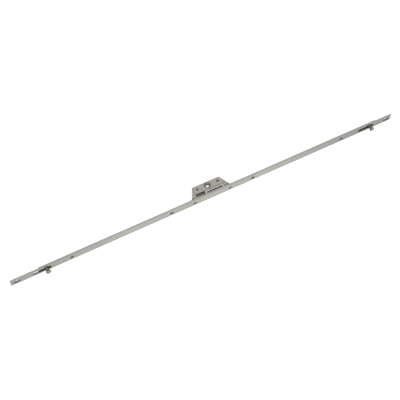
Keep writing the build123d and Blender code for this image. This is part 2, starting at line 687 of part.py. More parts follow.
def foot_rivet(x):
    """A rivet from the faceplate's front, through its shouldered post, into the foot."""
    head_top = FOOT_TOP_Y + FOOT_RIVET_HEAD_HEIGHT
    section = [
        (0, FRONT_Y),
        (FOOT_RIVET_SINK_RADIUS, FRONT_Y),
        (FOOT_RIVET_RADIUS, FRONT_Y + FOOT_RIVET_SINK_DEPTH),
        (FOOT_RIVET_RADIUS, BACK_Y),
        (POST_RADIUS, BACK_Y),
        (POST_RADIUS, FOOT_Y),
        (FOOT_RIVET_RADIUS, FOOT_Y),
        (FOOT_RIVET_RADIUS, FOOT_TOP_Y),
        (FOOT_RIVET_HEAD_RADIUS, FOOT_TOP_Y),
        (FOOT_RIVET_TIP_RADIUS, head_top),
        (0, head_top),
    ]
    return turned_y(section, x)


def foot_rivets():
    """The two rivets that fix the case to the faceplate."""
    return Compound(children=[foot_rivet(-FOOT_RIVET_X), foot_rivet(FOOT_RIVET_X)])


def fixing_sleeve(x):
    """A spacer between the shells that carries one handle screw."""
    section = [
        (FIXING_HOLE_RADIUS, CAVITY_BOTTOM_Z),
        (SLEEVE_RADIUS, CAVITY_BOTTOM_Z),
        (SLEEVE_RADIUS, CAVITY_TOP_Z),
        (FIXING_HOLE_RADIUS, CAVITY_TOP_Z),
    ]
    return turned_z(section, x, 0)


def build():
    """Every piece by its name."""
    pieces = {
        "faceplate": faceplate(),
        "drive_rod": drive_rod(),
        "rack_slide": rack_slide(),
        "spindle_follower": spindle_follower(),
        "case_base": case_base(),
        "case_cover": case_cover(),
        "case_rivets": case_rivets(),
        "foot_rivets": foot_rivets(),
    }
    for number, x in enumerate(GUIDE_POSITIONS, start=1):
        pieces[f"rod_guide_{number}"] = rod_guide(x)
    for name, side in (("left", -1), ("right", 1)):
        cam_x = side * CAM_X + REST_SHIFT
        pieces[f"fixing_sleeve_{name}"] = fixing_sleeve(side * FIXING_SPACING / 2)
        pieces[f"cam_pin_{name}"] = cam_pin(cam_x)
        pieces[f"cam_roller_{name}"] = cam_roller(cam_x)
        pieces[f"cam_washer_{name}"] = cam_washer(cam_x)
    return pieces


def main():
    os.makedirs("parts", exist_ok=True)
    for name, piece in build().items():
        export_step(piece, f"parts/{name}.step")


if __name__ == "__main__":
    main()
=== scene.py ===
import math

import bpy
from mathutils import Matrix, Vector


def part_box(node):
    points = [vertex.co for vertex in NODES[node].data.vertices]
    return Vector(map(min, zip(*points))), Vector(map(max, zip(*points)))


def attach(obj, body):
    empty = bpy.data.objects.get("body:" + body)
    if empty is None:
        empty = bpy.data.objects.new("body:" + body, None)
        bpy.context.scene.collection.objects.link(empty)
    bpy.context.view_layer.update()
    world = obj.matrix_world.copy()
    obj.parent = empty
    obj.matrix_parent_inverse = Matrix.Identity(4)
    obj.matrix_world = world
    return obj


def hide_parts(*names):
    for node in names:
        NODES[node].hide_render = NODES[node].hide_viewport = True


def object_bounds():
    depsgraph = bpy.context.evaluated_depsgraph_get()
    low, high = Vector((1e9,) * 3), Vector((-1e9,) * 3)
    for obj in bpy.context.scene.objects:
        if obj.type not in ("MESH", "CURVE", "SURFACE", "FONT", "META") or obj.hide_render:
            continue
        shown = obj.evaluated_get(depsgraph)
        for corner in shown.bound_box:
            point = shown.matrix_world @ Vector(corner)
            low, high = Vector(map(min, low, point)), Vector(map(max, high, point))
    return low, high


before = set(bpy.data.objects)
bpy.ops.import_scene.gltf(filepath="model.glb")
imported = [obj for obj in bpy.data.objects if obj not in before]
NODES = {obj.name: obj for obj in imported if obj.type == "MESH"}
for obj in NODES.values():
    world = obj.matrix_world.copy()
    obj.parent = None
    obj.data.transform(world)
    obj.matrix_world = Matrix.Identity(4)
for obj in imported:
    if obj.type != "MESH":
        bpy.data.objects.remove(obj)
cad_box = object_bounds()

bl_info = {
    "name": "Window espagnolette finishes",
    "version": (1, 0, 0),
    "blender": (4, 5, 0),
    "location": "3D View > Sidebar > Espagnolette",
    "description": "Plated finishes, turned details and a studio for a window espagnolette gearbox",
    "category": "Object",
}

MM = 0.001
WHITE = (1, 1, 1, 1)

# Facets that lean less than this to each other are one plane.
FLAT_WITHIN = math.radians(0.5)
# A sharper edge than this is rounded on a CAD node.
ROUNDED_FROM = math.radians(35)
# A sharper edge than this stays an edge on a turned piece.
SHARP_FROM = math.radians(32)
# Points nearer than this are one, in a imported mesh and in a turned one.
WELD_WITHIN = 0.002 * MM
MERGE_WITHIN = 0.001 * MM

# A normal whose share along Y is less belongs to a wall or an edge of a strip.
FACE_ON = 0.9
# A normal that points further along Y than this looks backwards.
BACKWARDS = 0.5
# Nearly all of a noise lies between these two values.
NOISE_LOW = 0.3
NOISE_HIGH = 0.7
# The wider of two layers of streaks is shifted by this many features, to be unlike the finer.
BAND_SHIFT = (3.1, 0.7, 1.9)
BRUSH_SHIFT = (1.3, 4.1, 0.4)

# A pattern makes its colour darker and lighter by these two shares.
CLOUD_SHARES = (0.93, 1.06)
BAND_SHARES = (0.66, 1.08)
BRUSH_SHARES = (0.70, 1.28)
FLOW_SHARES = (0.84, 1.10)
SOOT_SHARES = (0.72, 1.15)
SPOT_SHARES = (0.86, 1.08)
# A stain on the cover multiplies its colour by this.
STAIN = (0.84, 0.84, 0.82, 1)
# How much of the two end tints shows, and how bright the cover is in the painted shade round the
# hub's bore.
BLUE_SHARE = 0.6
GREY_SHARE = 0.8
HUB_SHADE_SHARE = 0.62
# The strip is painted darker towards both ends, as painted shade, between these two shares of the
# way from the middle to an end.
END_SHADE_FROM = 0.40
END_SHADE_FULL = 0.85
# The thin grease starts and is full at these two values of its noise, and covers this much.
FILM_FROM = 0.48
FILM_FULL = 0.68
FILM_SHARE = 0.4

# How far the roughness of a finish wanders to both sides.
STRIP_SPREAD = 0.07
COVER_SPREAD = 0.09
CASTING_SPREAD = 0.075
PEENED_SPREAD = 0.08
TURNED_SPREAD = 0.06

# How deep the relief of a finish is.
STRIP_RELIEF = 0.008 * MM
COVER_RELIEF = 0.012 * MM
CASTING_RELIEF = 0.03 * MM
PORE_RELIEF = 0.015 * MM
DENT_RELIEF = 0.06 * MM
TURNING_RELIEF = 0.006 * MM


def linear(hex_colour):
    """The linear values of an sRGB colour written as #RRGGBB."""
    shares = [int(hex_colour[i:i + 2], 16) / 255 for i in (1, 3, 5)]
    return [s / 12.92 if s <= 0.04045 else ((s + 0.055) / 1.055) ** 2.4 for s in shares]


def colour_property(name, description, hex_colour):
    """A colour that the user can change, with its default written in sRGB."""
    return bpy.props.FloatVectorProperty(
        name=name, description=description, subtype="COLOR", size=3, min=0, max=1,
        default=linear(hex_colour),
    )


def length_property(name, description, millimetres):
    """A length that the user can change, with its default in millimetres."""
    return bpy.props.FloatProperty(
        name=name, description=description, subtype="DISTANCE", unit="LENGTH",
        precision=5, default=millimetres * MM,
    )


def place_property(name, description, metres):
    """A place that the user can change, with its default in metres."""
    return bpy.props.FloatVectorProperty(
        name=name, description=description, subtype="TRANSLATION", unit="LENGTH", size=3,
        default=metres,
    )


def angle_property(name, description, degrees):
    """An angle that the user can change, with its default in degrees."""
    return bpy.props.FloatProperty(
        name=name, description=description, subtype="ANGLE", unit="ROTATION",
        default=math.radians(degrees),
    )


def power_property(name, description, watts):
    """A lamp's power that the user can change, with its default in watts."""
    return bpy.props.FloatProperty(
        name=name, description=description, unit="POWER", min=0, default=watts
    )


def share_property(name, description, value):
    """A roughness or another share that the user can change."""
    return bpy.props.FloatProperty(
        name=name, description=description, subtype="FACTOR", min=0, max=1, default=value
    )


class EspagnoletteFinish(bpy.types.PropertyGroup):
    """Colours, roughness and grain sizes of the metal finishes."""

    strip: colour_property("Strip", "Face of the zinc-plated steel strip", "#A8A8A3")
    # The strip edge is sheared steel, painted a little darker than the face as painted shade on the
    # edges.
    strip_edge: colour_property("Strip edge", "Sheared edge of the strip", "#A5A6A1")
    cover: colour_property("Cover", "Zinc-plated pressed steel cover", "#AAA89F")
    casting: colour_property("Casting", "Plated zinc casting", "#A6A59D")
    rack: colour_property("Rack", "Plated steel rack with a film of grease", "#BBBBB3")
    follower: colour_property("Follower", "Oiled sintered steel", "#75736C")
    rivet: colour_property("Case rivet", "Peened rivet steel, plated with the case", "#9C9B93")
    foot_rivet: colour_property("Foot rivet", "Peened rivet steel in the faceplate", "#73746F")
    turned: colour_property("Turned steel", "Turned and plated steel", "#969894")
    cam: colour_property("Cam", "Oiled steel of the mushrooms", "#767771")
    # The pin colour is painted lighter, as painted light on the collar in the shaded cam slot.
    pin: colour_property("Pin", "Steel of the cam pins, dulled by use", "#868781")
    # The punched wall colour is torn steel, painted dark as painted shade in the holes.
    punched: colour_property("Punched wall", "Torn wall of a punched hole", "#5C5B55")
    # This face colour is old grease where the rod slides, and painted shade where the rod shows
    # through the faceplate's slots.
    soiled_and_shaded: colour_property("Soiled face", "Rod face with old grease on it", "#77746C")
    blue: colour_property("Blue tint", "Thicker passivation at the strip's left end", "#9A9CAC")
    grey: colour_property("Grey tint", "Plain zinc towards the strip's right end", "#989999")
    # The grease colour is old grease and painted shade: it darkens the gear low in the case.
    grease: colour_property("Grease", "Grease in the gear, dark with wear", "#45413A")
    # The end share is painted shade: the strip is darker towards both ends.
    end_shade_share: share_property("End share", "Brightness of the plating at the ends", 0.84)
    strip_roughness: share_property("Strip roughness", "Rolled strip", 0.37)
    cover_roughness: share_property("Cover roughness", "Brushed cover", 0.41)
    casting_roughness: share_property("Casting roughness", "Zinc casting", 0.525)
    dry_roughness: share_property("Dry roughness", "Gear steel with no grease on it", 0.42)
    greased_roughness: share_property("Greased roughness", "Gear steel under grease", 0.30)
    peened_roughness: share_property("Peened roughness", "Rivets", 0.44)
    turned_roughness: share_property("Turned roughness", "Sleeves and washers", 0.33)
    cam_roughness: share_property("Cam roughness", "Mushrooms", 0.31)
    pin_roughness: share_property("Pin roughness", "Cam pins", 0.37)
    rolling_line: length_property("Rolling line", "Width of one rolling line", 0.45)
    rolling_length: length_property("Rolling length", "Length of one rolling line", 60)
    band_width: length_property("Band width", "Width of a band of rolling lines", 2.6)
    band_length: length_property("Band length", "Length of a band of rolling lines", 90)
    cloud_size: length_property("Cloud size", "Size of a cloud of tint on the strip", 38)
    blue_from: length_property("Blue from", "Where the blue tint starts, from the end", 18)
    blue_full: length_property("Blue full", "Where the blue tint is full, from the end", 6)
    grey_from: length_property("Grey from", "Where the grey tint starts, from the end", 260)
    grey_full: length_property("Grey full", "Where the grey tint is full, from the end", 100)
    brush_line: length_property("Brush line", "Width of one brush line on the cover", 0.6)
    brush_length: length_property("Brush length", "Length of one brush line", 25)
    brush_band: length_property("Brush band", "Width of a band of brush lines", 1.8)
    brush_band_length: length_property("Brush band length", "Length of such a band", 40)
    stain_size: length_property("Stain size", "Size of a stain on the cover", 9)
    # These two place a ring of painted shade round the hub's bore.
    hub_shade_radius: length_property("Ring radius", "Grease ring round the hub's bore", 6.6)
    hub_shade_fade: length_property("Ring fade", "Over which the grease ring fades out", 0.9)
    casting_grain: length_property("Casting grain", "Size of the casting's grain", 0.5)
    flow_size: length_property("Flow size", "Size of a flow mark on the casting", 11)
    milling_mark: length_property("Milling mark", "Size of a mark on the milled rack", 0.35)
    sinter_pore: length_property("Sinter pore", "Size of a pore in the follower", 0.22)
    film_patch: length_property("Film patch", "Size of a patch of thin grease", 3.2)
    # The grease level is where the thick grease and the painted shade low in the case end.
    grease_and_shade_top: length_property("Grease level", "Height that the thick grease reaches", 0.9)
    grease_and_shade_fade: length_property("Grease fade", "Over which the thick grease thins out", 0.5)
    dent_size: length_property("Dent size", "Size of a hammer's dent in a rivet", 0.9)
    soot_size: length_property("Soot size", "Size of a dark patch on a rivet", 1.6)
    turning_line: length_property("Turning line", "Feed of the turning tool", 0.25)
    spot_size: length_property("Spot size", "Size of a spot on turned steel", 2.4)
    edge_round: length_property("Edge round", "Rounding that tumbling leaves on an edge", 0.12)


class EspagnoletteTurnings(bpy.types.PropertyGroup):
    """Sizes of the mushrooms, their pins and the rivets."""

    stem_radius: length_property("Stem radius", "Stem of the mushroom", 3.2)
    bore_radius: length_property("Bore radius", "Bore of the mushroom", 2.05)
    neck_fillet: length_property("Neck fillet", "Fillet between stem and head", 0.5)
    head_thickness: length_property("Head thickness", "Head of the mushroom", 2.4)
    head_back_round: length_property("Head back round", "Rounding of the head's back", 0.35)
    head_front_round: length_property("Head front round", "Rounding of the head's front", 1.0)
    recess_radius: length_property("Recess radius", "Recess for the pin's head", 3.1)
    recess_depth: length_property("Recess depth", "Recess for the pin's head", 0.9)
    axle_radius: length_property("Axle radius", "Axle that the mushroom turns on", 2.0)
    axle_head_radius: length_property("Axle head radius", "Head in the recess", 2.9)
    axle_head_thickness: length_property("Axle head thickness", "Head in the recess", 0.7)
    axle_head_rise: length_property("Axle head rise", "Dome of the head in the recess", 0.3)
    collar_radius: length_property("Collar radius", "Collar in the cam slot", 3.1)
    collar_stand: length_property("Collar stand", "How far the collar stands proud", 0.3)
    shank_radius: length_property("Shank radius", "Shank through the drive rod", 2.5)
    peened_radius: length_property("Peened radius", "Peened tail of the pin", 3.4)
    peened_height: length_property("Peened height", "Peened tail of the pin", 0.9)
    rivet_radius: length_property("Rivet radius", "Shank of a case rivet", 1.0)
    rivet_head_radius: length_property("Rivet head radius", "Head of a case rivet", 1.6)
    rivet_head_height: length_property("Rivet head height", "Head of a case rivet", 0.6)
    rivet_crown: length_property("Rivet crown", "Dome of a case rivet's head", 0.08)
    rivet_ease: length_property("Rivet ease", "Small bevel on a case rivet's edges", 0.06)
    rear_rivet_x: length_property("Rear rivet", "From the spindle to a rear rivet", 25.453)
    flank_top: length_property("Flank top", "Height of the case's flanks", 2.5)
    post_radius: length_property("Post radius", "Post of a foot rivet", 3.0)
    foot_shank_radius: length_property("Foot shank radius", "Shank of a foot rivet", 1.8)
    foot_sink_depth: length_property("Foot sink depth", "Countersink of a foot rivet", 2.0)
    foot_dish: length_property("Foot dish", "Depth of the dish in a foot rivet's front", 0.16)
    foot_thickness: length_property("Foot thickness", "Foot that the rivet holds", 2.6)
    foot_tail_radius: length_property("Foot tail radius", "Peened tail of a foot rivet", 2.4)
    foot_tail_height: length_property("Foot tail height", "Peened tail of a foot rivet", 1.3)
    ease: length_property("Ease", "Small bevel on a turned edge", 0.15)
    sides: bpy.props.IntProperty(
        name="Sides", description="Corners round a turned piece", min=12, max=256, default=72
    )


class EspagnoletteStudio(bpy.types.PropertyGroup):
    """Floor, lamps and camera."""

    floor: colour_property("Floor", "Plain pale floor", "#F2F2F0")
    floor_half: length_property("Floor half side", "Half the side of the floor", 4000)
    floor_drop: length_property("Floor drop", "From the lowest edge to the floor", 0.05)
    floor_glow: share_property("Floor glow", "Lifts the floor to white where it is seen", 0.42)
    daylight: share_property("Daylight", "Strength of the even light on the object", 0.62)
    key_power: power_property("Key lamp", "Power of the large soft lamp", 26)
    key_side: length_property("Key lamp side", "Side of the large soft lamp", 1400)
    key_place: place_property("Key lamp place", "Where it hangs", (-0.75, -1.15, 1.65))
    fill_power: power_property("Fill lamp", "Power of the lamp on the far side", 9)
    fill_side: length_property("Fill lamp side", "Side of the lamp on the far side", 1000)
    fill_place: place_property("Fill lamp place", "Where it hangs", (1.6, -0.9, 1.1))
    azimuth: angle_property("Azimuth", "Turn of the camera round the object", -27.311)
    elevation: angle_property("Elevation", "Height of the camera above the horizon", 58.353)
    field: angle_property("Field of view", "Angle that the picture takes in", 28.10)
    distance: length_property("Distance", "From the camera to the faceplate", 1494.54)
    aim_across: length_property("Aim across", "Where the camera aims, to its right", -23.95)
    aim_up: length_property("Aim up", "Where the camera aims, upwards in its picture", -9.052)


def add_node(tree, kind, inputs=None, **settings):
    """A new shader node with its settings, and its inputs set to values or linked to sockets."""
    node = tree.nodes.new(kind)
    for name, value in settings.items():
        setattr(node, name, value)
    for name, value in (inputs or {}).items():
        if isinstance(value, bpy.types.NodeSocket):
            tree.links.new(value, node.inputs[name])
        else:
            node.inputs[name].default_value = value
    return node


def per_metre(size):
    """The scale of a pattern whose features have that size in metres, also if it is set to 0."""
    return 1 / max(size, 1e-6)


def rgba(colour):
    """A colour with full alpha."""
    return (colour[0], colour[1], colour[2], 1)


def neutral(share):
    """A grey that multiplies another colour by a share."""
    return (share, share, share, 1)


def shade(colour, share):
    """A colour made darker or lighter by one share, with full alpha."""
    return rgba([min(1.0, c * share) for c in colour])


def metal(name):
    """A metal material with no pattern yet, its tree and its shader."""
    material = bpy.data.materials.new(name)
    material.use_nodes = True
    tree = material.node_tree
    tree.nodes.clear()
    shader = add_node(tree, "ShaderNodeBsdfPrincipled", {"Metallic": 1.0})
    add_node(tree, "ShaderNodeOutputMaterial", {"Surface": shader.outputs["BSDF"]})
    return material, tree, shader


def streaks(tree, across, along, shift=(0, 0, 0)):
    """Noise drawn out along X, as rolling or brushing leaves it: 0.5 on average."""
    place = add_node(tree, "ShaderNodeTexCoord")
    stretched = add_node(
        tree, "ShaderNodeMapping",
        {
            "Vector": place.outputs["Object"], "Location": shift,
            "Scale": (per_metre(along), per_metre(across), per_metre(across)),
        },
    )
    return add_node(
        tree, "ShaderNodeTexNoise",
        {"Vector": stretched.outputs["Vector"], "Scale": 1.0, "Detail": 3.0, "Roughness": 0.6},
    )


def grain(tree, size, detail=2.0):
    """Even noise with features of one size, as a casting or a sintered face has it."""
    place = add_node(tree, "ShaderNodeTexCoord")
    return add_node(
        tree, "ShaderNodeTexNoise",
        {"Vector": place.outputs["Object"], "Scale": per_metre(size), "Detail": detail},
    )


def turned_rings(tree, feed, centre, axis):
    """Fine rings round an axis, as a turning tool leaves them."""
    place = add_node(tree, "ShaderNodeTexCoord")
    centred = add_node(
        tree, "ShaderNodeMapping",
        {"Vector": place.outputs["Object"], "Location": [-c for c in centre]},
    )
    # At a scale of 1, the rings of a wave texture are pi / 10 apart.
    return add_node(
        tree, "ShaderNodeTexWave",
        {
            "Vector": centred.outputs["Vector"], "Scale": math.pi / 10 * per_metre(feed),
            "Distortion": 1.5, "Detail": 2.0, "Detail Scale": 4.0,
        },
        wave_type="RINGS", rings_direction=axis,
    )


def add_shader(tree, shader, colour, roughness, height, relief):
    """Links a colour, a roughness and a relief to the shader. The relief is in metres."""
    tree.links.new(colour, shader.inputs["Base Color"])
    tree.links.new(roughness, shader.inputs["Roughness"])
    bump = add_node(
        tree, "ShaderNodeBump", {"Height": height, "Distance": relief, "Strength": 1.0}
    )
    tree.links.new(bump.outputs["Normal"], shader.inputs["Normal"])


def place_on_strip(tree, low, high):
    """A point's place along the strip, and how far it lies from the middle along and across."""
    place = add_node(tree, "ShaderNodeTexCoord")
    centred = add_node(
        tree, "ShaderNodeMapping",
        {"Vector": place.outputs["Object"], "Location": [-c for c in (low + high) / 2]},
    )
    parts = add_node(tree, "ShaderNodeSeparateXYZ", {"Vector": centred.outputs["Vector"]})
    along, across = [
        add_node(tree, "ShaderNodeMath", {0: parts.outputs[axis]}, operation="ABSOLUTE")
        for axis in "XZ"
    ]
    return parts.outputs["X"], along.outputs["Value"], across.outputs["Value"]


def hole_walls(tree, low, high, along, across, facing):
    """1 on the walls of punched holes, which don't lie in the face and are inside its rim."""
    rim = 0.8 * MM
    inside_ends = add_node(
        tree, "ShaderNodeMath", {0: along, 1: (high.x - low.x) / 2 - rim}, operation="LESS_THAN"
    )
    inside_edges = add_node(
        tree, "ShaderNodeMath", {0: across, 1: (high.z - low.z) / 2 - rim}, operation="LESS_THAN"
    )
    inside = add_node(
        tree, "ShaderNodeMath",
        {0: inside_ends.outputs["Value"], 1: inside_edges.outputs["Value"]},
        operation="MULTIPLY",
    )
    wall = add_node(tree, "ShaderNodeMath", {0: facing, 1: FACE_ON}, operation="LESS_THAN")
    hole = add_node(
        tree, "ShaderNodeMath", {0: inside.outputs["Value"], 1: wall.outputs["Value"]},
        operation="MULTIPLY",
    )
    return hole.outputs["Value"]


def rolled_zinc_plated_strip(finish, name, node_name, front, end_tinting):
    """Cold-rolled strip, zinc-plated and passivated: a satin face with long rolling lines and
    slow clouds of tint that turn to another tint at each end, a sheared edge painted a little
    darker as painted shade on the edges, and walls in the holes painted dark as painted shade
    in the holes, on top of torn steel. The strip is painted darker towards both ends, as
    painted shade. The front has its own colour, for old grease where it rubs and painted shade
    where it shows through holes, and the back is plain. End tinting is from 0 to 1."""
    low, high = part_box(node_name)
    half_length = (high.x - low.x) / 2
    material, tree, shader = metal(name)
    lines = streaks(tree, finish.rolling_line, finish.rolling_length)
    # Real rolling lines are finer than a pixel, so wider ones carry them at a distance.
    bands = streaks(tree, finish.band_width, finish.band_length, BAND_SHIFT)
    clouds = grain(tree, finish.cloud_size)
    place, along, across = place_on_strip(tree, low, high)
    shape = add_node(tree, "ShaderNodeNewGeometry")
    normal = add_node(tree, "ShaderNodeSeparateXYZ", {"Vector": shape.outputs["True Normal"]})
    facing = add_node(tree, "ShaderNodeMath", {0: normal.outputs["Y"]}, operation="ABSOLUTE")
    behind = add_node(
        tree, "ShaderNodeMath", {0: normal.outputs["Y"], 1: BACKWARDS}, operation="GREATER_THAN"
    )
    plain = add_node(
        tree, "ShaderNodeMix",
        {0: behind.outputs["Value"], 6: rgba(front), 7: rgba(finish.strip)}, data_type="RGBA",
    )
    dark, light = CLOUD_SHARES
    clouded = add_node(
        tree, "ShaderNodeMix", {0: clouds.outputs["Fac"], 6: neutral(dark), 7: neutral(light)},
        data_type="RGBA",
    )
    tinted = add_node(
        tree, "ShaderNodeMix", {0: 1.0, 6: plain.outputs[2], 7: clouded.outputs[2]},
        data_type="RGBA", blend_type="MULTIPLY",
    )
    at_left = add_node(
        tree, "ShaderNodeMapRange",
        {
            "Value": place, "From Min": finish.blue_from - half_length,
            "From Max": finish.blue_full - half_length,
            "To Min": 0.0, "To Max": BLUE_SHARE * end_tinting,
        },
    )
    left_tinted = add_node(
        tree, "ShaderNodeMix",
        {0: at_left.outputs["Result"], 6: tinted.outputs[2], 7: rgba(finish.blue)},
        data_type="RGBA",
    )
    at_right = add_node(
        tree, "ShaderNodeMapRange",
        {
            "Value": place, "From Min": half_length - finish.grey_from,
            "From Max": half_length - finish.grey_full,
            "To Min": 0.0, "To Max": GREY_SHARE * end_tinting,
        },
    )
    at_ends = add_node(
        tree, "ShaderNodeMix",
        {0: at_right.outputs["Result"], 6: left_tinted.outputs[2], 7: rgba(finish.grey)},
        data_type="RGBA",
    )
    dark, light = BAND_SHARES
    lined = add_node(
        tree, "ShaderNodeMix", {0: bands.outputs["Fac"], 6: neutral(dark), 7: neutral(light)},
        data_type="RGBA",
    )
    on_face = add_node(
        tree, "ShaderNodeMix", {0: 1.0, 6: at_ends.outputs[2], 7: lined.outputs[2]},
        data_type="RGBA", blend_type="MULTIPLY",
    )
    # Walls and edges take the strip edge colour: sheared steel with painted shade on the edges.
    whole = add_node(
        tree, "ShaderNodeMix",
        {0: facing.outputs["Value"], 6: rgba(finish.strip_edge), 7: on_face.outputs[2]},
        data_type="RGBA",
    )
    # Painted shade: the strip is darker towards both ends.
    end_shade = add_node(
        tree, "ShaderNodeMapRange",
        {
            "Value": along, "From Min": END_SHADE_FROM * half_length,
            "From Max": END_SHADE_FULL * half_length, "To Min": 1.0, "To Max": finish.end_shade_share,
        },
    )
    end_shaded = add_node(
        tree, "ShaderNodeMix", {0: 1.0, 6: whole.outputs[2], 7: end_shade.outputs["Result"]},
        data_type="RGBA", blend_type="MULTIPLY",
    )
    # Walls of the holes take the punched wall colour: torn steel, painted dark as painted shade in
    # the holes.
    pierced = add_node(
        tree, "ShaderNodeMix",
        {
            0: hole_walls(tree, low, high, along, across, facing.outputs["Value"]),
            6: end_shaded.outputs[2], 7: rgba(finish.punched),
        },
        data_type="RGBA",
    )
    dull = add_node(
        tree, "ShaderNodeMapRange",
        {
            "Value": bands.outputs["Fac"], "From Min": NOISE_LOW, "From Max": NOISE_HIGH,
            "To Min": finish.strip_roughness - STRIP_SPREAD,
            "To Max": finish.strip_roughness + STRIP_SPREAD,
        },
    )
    add_shader(
        tree, shader, pierced.outputs[2], dull.outputs["Result"], lines.outputs["Fac"],
        STRIP_RELIEF,
    )
    return material


def brushed_zinc_plated_cover(finish):
    """Pressed sheet, brushed along its length and zinc-plated: soft lines, a warm grey satin.
    A ring round the hub's bore is painted darker, as painted shade in the recess round the hub."""
    material, tree, shader = metal("Brushed zinc-plated steel sheet")
    fine = streaks(tree, finish.brush_line, finish.brush_length)
    # The brush lines are drawn in broader bands too, so that they show from a step away.
    bands = streaks(tree, finish.brush_band, finish.brush_band_length, BRUSH_SHIFT)
    stains = grain(tree, finish.stain_size)
    dark, light = BRUSH_SHARES
    streaked = add_node(
        tree, "ShaderNodeMix",
        {0: bands.outputs["Fac"], 6: shade(finish.cover, dark), 7: shade(finish.cover, light)},
        data_type="RGBA",
    )
    stained = add_node(
        tree, "ShaderNodeMix", {0: stains.outputs["Fac"], 6: STAIN, 7: WHITE},
        data_type="RGBA",
    )
    whole = add_node(
        tree, "ShaderNodeMix", {0: 1.0, 6: streaked.outputs[2], 7: stained.outputs[2]},
        data_type="RGBA", blend_type="MULTIPLY",
    )
    place = add_node(tree, "ShaderNodeTexCoord")
    flat = add_node(
        tree, "ShaderNodeMapping", {"Vector": place.outputs["Object"], "Scale": (1, 1, 0)}
    )
    from_spindle = add_node(
        tree, "ShaderNodeVectorMath", {0: flat.outputs["Vector"]}, operation="LENGTH"
    )
    # A ring of painted shade round the hub's bore, darker near the bore.
    ring = add_node(
        tree, "ShaderNodeMapRange",
        {
            "Value": from_spindle.outputs["Value"], "From Min": finish.hub_shade_radius,
            "From Max": finish.hub_shade_radius + finish.hub_shade_fade,
            "To Min": HUB_SHADE_SHARE, "To Max": 1.0,
        },
    )
    hub_shaded = add_node(
        tree, "ShaderNodeMix", {0: 1.0, 6: whole.outputs[2], 7: ring.outputs["Result"]},
        data_type="RGBA", blend_type="MULTIPLY",
    )
    dull = add_node(
        tree, "ShaderNodeMapRange",
        {
            "Value": bands.outputs["Fac"], "From Min": NOISE_LOW, "From Max": NOISE_HIGH,
            "To Min": finish.cover_roughness - COVER_SPREAD,
            "To Max": finish.cover_roughness + COVER_SPREAD,
        },
    )
    add_shader(
        tree, shader, hub_shaded.outputs[2], dull.outputs["Result"], fine.outputs["Fac"],
        COVER_RELIEF,
    )
    return material


def plated_zinc_casting(finish):
    """Pressure-cast zinc, plated: a matt skin with a fine orange-peel grain and faint flow
    marks."""
    material, tree, shader = metal("Plated zinc casting")
    skin = grain(tree, finish.casting_grain, 3.0)
    flow = grain(tree, finish.flow_size)
    dark, light = FLOW_SHARES
    tone = add_node(
        tree, "ShaderNodeMix",
        {0: flow.outputs["Fac"], 6: shade(finish.casting, dark), 7: shade(finish.casting, light)},
        data_type="RGBA",
    )
    dull = add_node(
        tree, "ShaderNodeMapRange",
        {
            "Value": skin.outputs["Fac"], "From Min": NOISE_LOW, "From Max": NOISE_HIGH,
            "To Min": finish.casting_roughness - CASTING_SPREAD,
            "To Max": finish.casting_roughness + CASTING_SPREAD,
        },
    )
    add_shader(
        tree, shader, tone.outputs[2], dull.outputs["Result"], skin.outputs["Fac"],
        CASTING_RELIEF,
    )
    return material


def greased_and_shaded_steel(finish, name, colour, pore):
    """Steel that runs in the gear: a dark colour lies thick on the teeth, low in the case, as
    old grease and as painted shade deep in the case, and above them a film of grease thins out
    in patches, where the steel rubs bright. Pores or tool marks have the given size."""
    material, tree, shader = metal(name)
    film = grain(tree, finish.film_patch)
    pores = grain(tree, pore, 1.0)
    place = add_node(tree, "ShaderNodeTexCoord")
    level = add_node(tree, "ShaderNodeSeparateXYZ", {"Vector": place.outputs["Object"]})
    # Painted shade and thick grease: darker below the grease level, low in the case.
    deep = add_node(
        tree, "ShaderNodeMapRange",
        {
            "Value": level.outputs["Z"], "From Min": finish.grease_and_shade_top - finish.grease_and_shade_fade,
            "From Max": finish.grease_and_shade_top, "To Min": 1.0, "To Max": 0.0,
        },
    )
    thin = add_node(
        tree, "ShaderNodeMapRange",
        {
            "Value": film.outputs["Fac"], "From Min": FILM_FROM, "From Max": FILM_FULL,
            "To Min": 0.0, "To Max": FILM_SHARE,
        },
    )
    wet_and_shaded = add_node(
        tree, "ShaderNodeMath", {0: deep.outputs["Result"], 1: thin.outputs["Result"]},
        operation="MAXIMUM",
    )
    tone = add_node(
        tree, "ShaderNodeMix",
        {0: wet_and_shaded.outputs["Value"], 6: rgba(colour), 7: rgba(finish.grease)}, data_type="RGBA",
    )
    dull = add_node(
        tree, "ShaderNodeMapRange",
        {
            "Value": wet_and_shaded.outputs["Value"],
            "To Min": finish.dry_roughness, "To Max": finish.greased_roughness,
        },
    )
    add_shader(
        tree, shader, tone.outputs[2], dull.outputs["Result"], pores.outputs["Fac"], PORE_RELIEF
    )
    return material


def peened_steel(finish, name, colour):
    """Rivet steel upset by a hammer: small planished dents and a darker, worn plating."""
    material, tree, shader = metal(name)
    place = add_node(tree, "ShaderNodeTexCoord")
    dents = add_node(
        tree, "ShaderNodeTexVoronoi",
        {"Vector": place.outputs["Object"], "Scale": per_metre(finish.dent_size)},
    )
    soot = grain(tree, finish.soot_size)
    dark, light = SOOT_SHARES
    tone = add_node(
        tree, "ShaderNodeMix",
        {0: soot.outputs["Fac"], 6: shade(colour, dark), 7: shade(colour, light)},
        data_type="RGBA",
    )
    dull = add_node(
        tree, "ShaderNodeMapRange",
        {
            "Value": soot.outputs["Fac"], "From Min": NOISE_LOW, "From Max": NOISE_HIGH,
            "To Min": finish.peened_roughness - PEENED_SPREAD,
            "To Max": finish.peened_roughness + PEENED_SPREAD,
        },
    )
    add_shader(
        tree, shader, tone.outputs[2], dull.outputs["Result"], dents.outputs["Distance"],
        DENT_RELIEF,
    )
    return material


